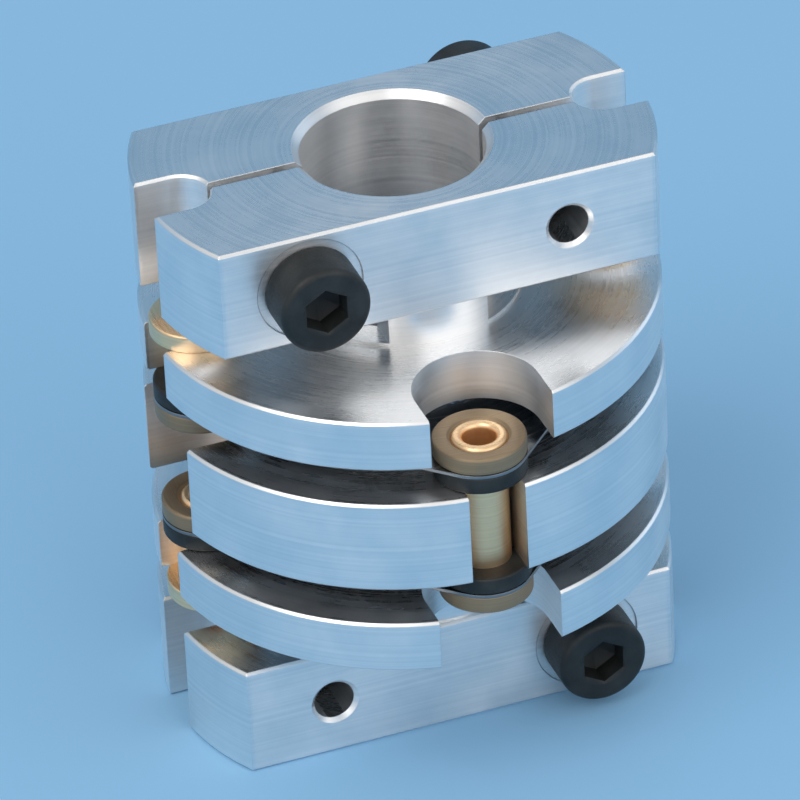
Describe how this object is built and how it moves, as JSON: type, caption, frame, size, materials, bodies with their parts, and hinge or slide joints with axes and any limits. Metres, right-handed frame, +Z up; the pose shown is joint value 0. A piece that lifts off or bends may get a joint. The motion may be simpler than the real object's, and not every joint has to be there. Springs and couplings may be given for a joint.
{
  "type": "disc coupling",
  "caption": "Two-stage membrane shaft coupling: two clamp hubs on either side of a centre disc, tied through thin spring rings by tubular rivets with collars.",
  "frame": {"origin": "bottom of the lower hub's bar on the shaft axis, which is also the bottom centre of the bounding box", "axes": "+Z up the shaft axis, X along both clamp bars, Y across them, with the slit of each bar in the XZ plane"},
  "size_m": [0.031, 0.031, 0.0364],
  "materials": {
    "machined_aluminium": "turned and milled, bright edge breaks",
    "spring_steel": "thin blackened spring sheet",
    "black_oxide": "black oxide on alloy steel, satin",
    "brass_collar": "turned, satin",
    "brass_rivet": "turned, bright, with a rolled lip"
  },
  "bodies": {
    "root": {"lower_hub": "machined_aluminium", "lower_membrane": "spring_steel", "lower_front_clamp_screw": "black_oxide", "lower_rear_clamp_screw": "black_oxide", "lower_left_seat_collar": "black_oxide", "lower_left_free_collar": "brass_collar", "lower_left_hub_rivet": "brass_rivet", "lower_right_seat_collar": "black_oxide", "lower_right_free_collar": "brass_collar", "lower_right_hub_rivet": "brass_rivet", "lower_front_seat_collar": "black_oxide", "lower_rear_seat_collar": "black_oxide", "upper_hub": "machined_aluminium", "upper_membrane": "spring_steel", "upper_front_clamp_screw": "black_oxide", "upper_rear_clamp_screw": "black_oxide", "upper_left_seat_collar": "black_oxide", "upper_left_free_collar": "brass_collar", "upper_left_hub_rivet": "brass_rivet", "upper_right_seat_collar": "black_oxide", "upper_right_free_collar": "brass_collar", "upper_right_hub_rivet": "brass_rivet", "upper_front_seat_collar": "black_oxide", "upper_rear_seat_collar": "black_oxide", "centre_disc": "machined_aluminium", "front_disc_rivet": "brass_rivet", "rear_disc_rivet": "brass_rivet", "upper_front_free_collar": "brass_collar", "upper_rear_free_collar": "brass_collar"}
  },
  "joints": []
}
